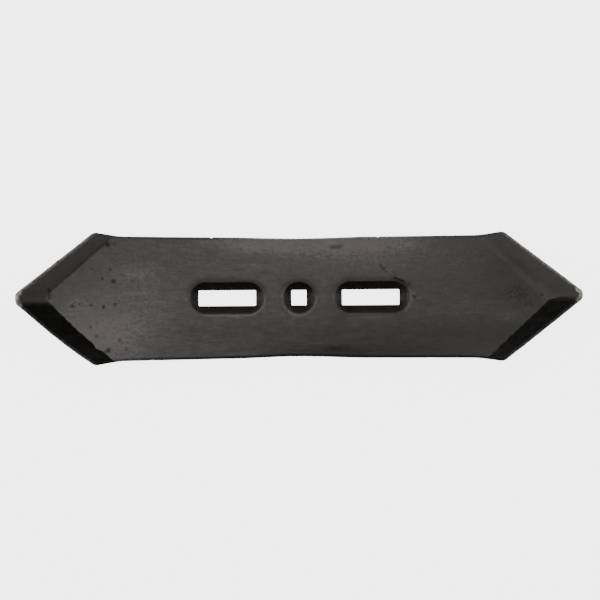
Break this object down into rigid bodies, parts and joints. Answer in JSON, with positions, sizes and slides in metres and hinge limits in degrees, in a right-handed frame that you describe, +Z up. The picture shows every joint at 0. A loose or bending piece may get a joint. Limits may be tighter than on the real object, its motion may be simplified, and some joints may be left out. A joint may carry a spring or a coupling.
{
  "type": "cultivator point",
  "caption": "Reversible cultivator point: a bowed steel bar with a bevelled point at each end, a square bolt hole in the middle and a countersunk slot on either side.",
  "frame": {"origin": "middle of the convex back face, under the square hole, where the part rests on a flat surface", "axes": "+X along the bar, +Y across it, +Z up out of the countersunk concave front face"},
  "size_m": [0.3812, 0.0896, 0.0315],
  "materials": {
    "blade_steel": "satin"
  },
  "bodies": {
    "root": {"point_blade": "blade_steel"}
  },
  "joints": []
}
